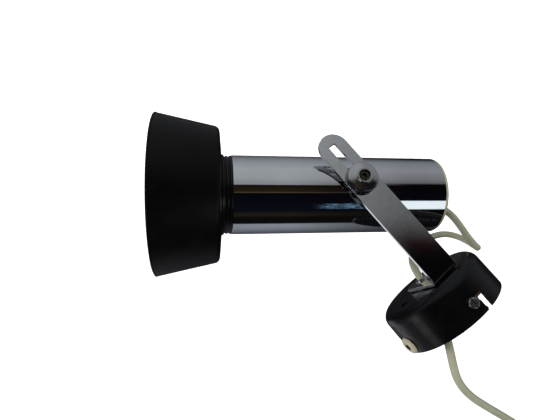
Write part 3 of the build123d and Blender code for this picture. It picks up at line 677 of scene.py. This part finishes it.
def makeHoodShade():
    back, shoulder, rim = hood["back"], hood["shoulder"], hood["rim"]
    sheet, roll = hood["sheet"], hood["roll"]
    slope = Vector((rim[0] - shoulder[0], rim[1] - shoulder[1])).normalized()
    outWay = Vector((-slope.y, slope.x))
    outside = [back, *roundCorner(back, shoulder, rim, hood["shoulderBend"])]
    backIn = (back[0] + sheet, back[1])
    shoulderIn = (shoulder[0] + sheet, shoulder[1] - sheet)
    rimIn = (rim[0], rim[1] - sheet)
    inside = [backIn, *roundCorner(backIn, shoulderIn, rimIn, hood["shoulderBend"] - sheet)]
    # the lip turns round a centre in the middle of the sheet
    lipCentre = Vector(rim) - slope * roll - outWay * (sheet / 2)
    lipFoot = lipCentre - slope * (roll + mm)
    lip = []
    for number in range(hood["rollSteps"] + 1):
        angle = radians(hood["rollSweep"]) * (0.5 - number / hood["rollSteps"])
        lip.append(tuple(lipCentre + (slope * cos(angle) + outWay * sin(angle)) * roll))
    steps = outside + [tuple(lipFoot + outWay * (sheet / 2))] + lip + [tuple(lipFoot - outWay * (sheet / 2))]
    steps += list(reversed(inside)) + [outside[0]]
    piece = turned("hoodShade", steps, knuckle, headWay, segments=256, smoothAngle=40)
    paint(piece, hoodEnamel)
    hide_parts("hood_shade")
    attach(piece, "spot")


makeBodyTube()
makeHoodCollar()
makeHoodShade()
print("head turned")


# pieces that keep their shape and get their sharp edges eased
easedPieces = {
    "armStrip": {
        "node": "arm_bracket",
        "body": "arm",
        "slot": "plated_strip",
        "finish": armPlate,
        "ease": 0.3 * mm,
    },
}


def makeEasedPiece(name, choice):
    deselectAll()
    source = frame["nodes"][choice["node"]]
    piece = bpy.data.objects.new(name, source.data.copy())
    bpy.context.collection.objects.link(piece)
    piece.select_set(True)
    bpy.context.view_layer.objects.active = piece
    bpy.ops.object.mode_set(mode="EDIT")
    bpy.ops.mesh.select_all(action="SELECT")
    bpy.ops.mesh.remove_doubles(threshold=0.000002)
    bpy.ops.mesh.dissolve_limited(angle_limit=radians(0.3))
    bpy.ops.object.mode_set(mode="OBJECT")
    softenEdges(piece, choice["ease"], segments=2, angle=50)
    flatten = piece.modifiers.new("flatFaces", "WEIGHTED_NORMAL")
    flatten.weight = 100
    flatten.keep_sharp = True
    bpy.ops.object.modifier_apply(modifier=flatten.name)
    paint(piece, choice["finish"])
    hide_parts(choice["node"])
    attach(piece, choice["body"])


for name, choice in easedPieces.items():
    makeEasedPiece(name, choice)
print("edges eased")


# stage: pale floor, a studio that is light on one side and dark on the other, and soft lamps
studio = {
    "upWay": (-0.6032, -0.7976, 0.0),  # the light side
    "backWay": (-0.7976, 0.6032, 0.0),  # behind the rear cap
    # degrees from overhead towards the light side, and the colour there, seen in the tube's front part
    "bands": [
        (-180, (0.09, 0.1, 0.12)),
        (-160, (0.09, 0.1, 0.12)),
        (-130, (0.24, 0.255, 0.285)),
        (-113, (0.28, 0.29, 0.32)),
        (-109.5, (0.004, 0.004, 0.005)),
        (-88, (0.005, 0.004, 0.003)),
        (-78, (0.018, 0.015, 0.01)),
        (-66, (0.004, 0.004, 0.008)),
        (-16, (0.002, 0.002, 0.004)),
        (-13.5, (0.006, 0.004, 0.003)),
        (-12.5, (0.13, 0.09, 0.06)),
        (-11, (0.02, 0.013, 0.008)),
        (4, (0.014, 0.009, 0.005)),
        (6, (0.003, 0.003, 0.003)),
        (9, (0.003, 0.003, 0.003)),
        (10.5, (0.36, 0.36, 0.36)),
        (13, (0.27, 0.28, 0.29)),
        (28, (0.35, 0.37, 0.385)),
        (60, (0.38, 0.4, 0.42)),
        (98, (0.26, 0.28, 0.31)),
        (122, (0.15, 0.15, 0.165)),
        (143, (0.034, 0.034, 0.038)),
        (180, (0.022, 0.022, 0.026)),
    ],
    # and in its rear part
    "rearBands": [
        (-180, (0.012, 0.012, 0.015)),
        (-130, (0.02, 0.021, 0.024)),
        (-103, (0.003, 0.003, 0.003)),
        (-16, (0.002, 0.002, 0.004)),
        (11, (0.002, 0.002, 0.002)),
        (13.2, (0.02, 0.006, 0.008)),
        (14.4, (0.07, 0.065, 0.065)),
        (17, (0.13, 0.135, 0.14)),
        (28, (0.19, 0.2, 0.21)),
        (60, (0.27, 0.28, 0.3)),
        (98, (0.2, 0.21, 0.24)),
        (124, (0.012, 0.012, 0.015)),
        (180, (0.01, 0.01, 0.012)),
    ],
    "rearFrom": 0.2,
    "rearTo": 0.46,
    # bright openings: degrees, how far behind, colour and strength
    "openings": {
        "window": {
            "degrees": (-63, -37),
            "back": (0.43, 1.2),
            "colour": (0.88, 0.96, 1.0),
            "strength": 1.12,
        },
        "sideDoor": {
            "degrees": (-100, -80),
            "back": (-1.2, -0.57),
            "colour": (1, 1, 1),
            "strength": 2.2,
        },
        "farPane": {
            "degrees": (-60, -45),
            "back": (0.275, 0.375),
            "colour": (0.32, 0.6, 0.9),
            "strength": 0.75,
            "speckle": (45, 120),
        },
        "lowLight": {
            "degrees": (-179, -135),
            "back": (-0.5, -0.14),
            "colour": (1, 1, 1),
            "strength": 0.7,
        },
    },
}


def dotNode(nodes, links, way, source):
    node = nodes.new("ShaderNodeVectorMath")
    node.operation = "DOT_PRODUCT"
    node.inputs[1].default_value = way
    links.new(source, node.inputs[0])
    return node.outputs["Value"]


def mathNode(nodes, links, operation, first, second):
    node = nodes.new("ShaderNodeMath")
    node.operation = operation
    for socket, value in zip(node.inputs, (first, second)):
        if isinstance(value, (int, float)):
            socket.default_value = value
        else:
            links.new(value, socket)
    return node.outputs[0]


def bandColours(nodes, links, share, bands):
    ramp = nodes.new("ShaderNodeValToRGB")
    stops = ramp.color_ramp.elements
    while len(stops) < len(bands):
        stops.new(0.5)
    for stop, (degrees, colour) in zip(stops, bands):
        stop.position = degrees / 360 + 0.5
        stop.color = (*colour, 1)
    links.new(share, ramp.inputs["Fac"])
    return ramp.outputs["Color"]


def between(nodes, links, value, low, high, soft):
    rise = spread(nodes, links, value, 0.0, 1.0, low - soft, low + soft)
    fall = spread(nodes, links, value, 1.0, 0.0, high - soft, high + soft)
    return mathNode(nodes, links, "MULTIPLY", rise, fall)


def addShaders(nodes, links, first, second):
    both = nodes.new("ShaderNodeAddShader")
    links.new(first, both.inputs[0])
    links.new(second, both.inputs[1])
    return both.outputs[0]


def makeStudio():
    world = bpy.data.worlds.new("studio")
    bpy.context.scene.world = world
    world.use_nodes = True
    nodes, links = world.node_tree.nodes, world.node_tree.links
    nodes.clear()
    way = nodes.new("ShaderNodeTexCoord").outputs["Generated"]
    up = dotNode(nodes, links, studio["upWay"], way)
    back = dotNode(nodes, links, studio["backWay"], way)
    overhead = dotNode(nodes, links, (0, 0, 1), way)
    angle = mathNode(nodes, links, "ARCTAN2", up, overhead)
    share = mathNode(nodes, links, "MULTIPLY_ADD", angle, 1 / (2 * pi))
    share.node.inputs[2].default_value = 0.5
    walls = nodes.new("ShaderNodeMix")
    walls.data_type = "RGBA"  # its colour sockets are inputs 6 and 7, and output 2
    rear = spread(nodes, links, back, 0.0, 1.0, studio["rearFrom"], studio["rearTo"])
    links.new(rear, walls.inputs["Factor"])
    links.new(bandColours(nodes, links, share, studio["bands"]), walls.inputs[6])
    links.new(bandColours(nodes, links, share, studio["rearBands"]), walls.inputs[7])
    room = nodes.new("ShaderNodeBackground")
    links.new(walls.outputs[2], room.inputs["Color"])
    light = room.outputs[0]
    for opening in studio["openings"].values():
        low, high = [degrees / 360 + 0.5 for degrees in opening["degrees"]]
        upright = between(nodes, links, share, low, high, 1 / 360)
        along = between(nodes, links, back, *opening["back"], 0.012)
        glow = nodes.new("ShaderNodeBackground")
        glow.inputs["Color"].default_value = (*opening["colour"], 1)
        inside = mathNode(nodes, links, "MULTIPLY", upright, along)
        if "speckle" in opening:
            leaves = nodes.new("ShaderNodeTexNoise")
            leaves.inputs["Scale"].default_value = 1.0
            leaves.inputs["Detail"].default_value = 5.0
            grid = nodes.new("ShaderNodeCombineXYZ")
            for socket, value, scale in zip(grid.inputs, (share, back), opening["speckle"]):
                links.new(mathNode(nodes, links, "MULTIPLY", value, scale), socket)
            links.new(grid.outputs[0], leaves.inputs["Vector"])
            gaps = spread(nodes, links, leaves.outputs["Fac"], 0.0, 1.0, 0.46, 0.66)
            inside = mathNode(nodes, links, "MULTIPLY", inside, gaps)
        links.new(mathNode(nodes, links, "MULTIPLY", inside, opening["strength"]), glow.inputs["Strength"])
        light = addShaders(nodes, links, light, glow.outputs[0])
    pale = nodes.new("ShaderNodeBackground")
    pale.inputs["Color"].default_value = (1, 1, 1, 1)
    seen = nodes.new("ShaderNodeLightPath").outputs["Is Camera Ray"]
    mix = nodes.new("ShaderNodeMixShader")
    links.new(seen, mix.inputs["Fac"])
    links.new(light, mix.inputs[1])
    links.new(pale.outputs[0], mix.inputs[2])
    output = nodes.new("ShaderNodeOutputWorld")
    links.new(mix.outputs[0], output.inputs["Surface"])


floorPaper = {"size": 8, "drop": 0.16, "colour": (0.9, 0.9, 0.9), "glow": 0.72}


def makeFloor():
    deselectAll()
    level = cadBox[0][2] - floorPaper["drop"]
    bpy.ops.mesh.primitive_plane_add(size=floorPaper["size"], location=(0, 0, level))
    floor = bpy.context.object
    floor.name = "floor"
    material, nodes, links, shader = newMaterial("palePaper")
    shader.inputs["Base Color"].default_value = (*floorPaper["colour"], 1)
    shader.inputs["Roughness"].default_value = 0.9
    shader.inputs["Emission Color"].default_value = (1, 1, 1, 1)
    shader.inputs["Emission Strength"].default_value = floorPaper["glow"]
    paint(floor, material)
    floor.visible_glossy = False
    floor.visible_diffuse = False


lamps = {
    "keyLamp": {"place": (0.35, -0.75, 0.75), "size": 0.5, "power": 5.5},
    "fillLamp": {"place": (-0.8, 0.1, 0.6), "size": 0.7, "power": 3.2},
    "wallLamp": {"place": (0.5, 0.7, 0.5), "size": 0.5, "power": 4.5},
    "underLamp": {"place": (0.2, -0.2, -0.12), "size": 0.5, "power": 0.8},
}


def makeLamps():
    for name, lamp in lamps.items():
        data = bpy.data.lights.new(name, "AREA")
        data.size = lamp["size"]
        data.energy = lamp["power"]
        light = bpy.data.objects.new(name, data)
        bpy.context.collection.objects.link(light)
        light.location = lamp["place"]
        aim = knuckle - Vector(lamp["place"])
        light.rotation_euler = aim.to_track_quat("-Z", "Y").to_euler()
        light.visible_glossy = False  # the chrome mirrors the studio, not the lamps


makeStudio()
makeFloor()
makeLamps()
print("stage set")
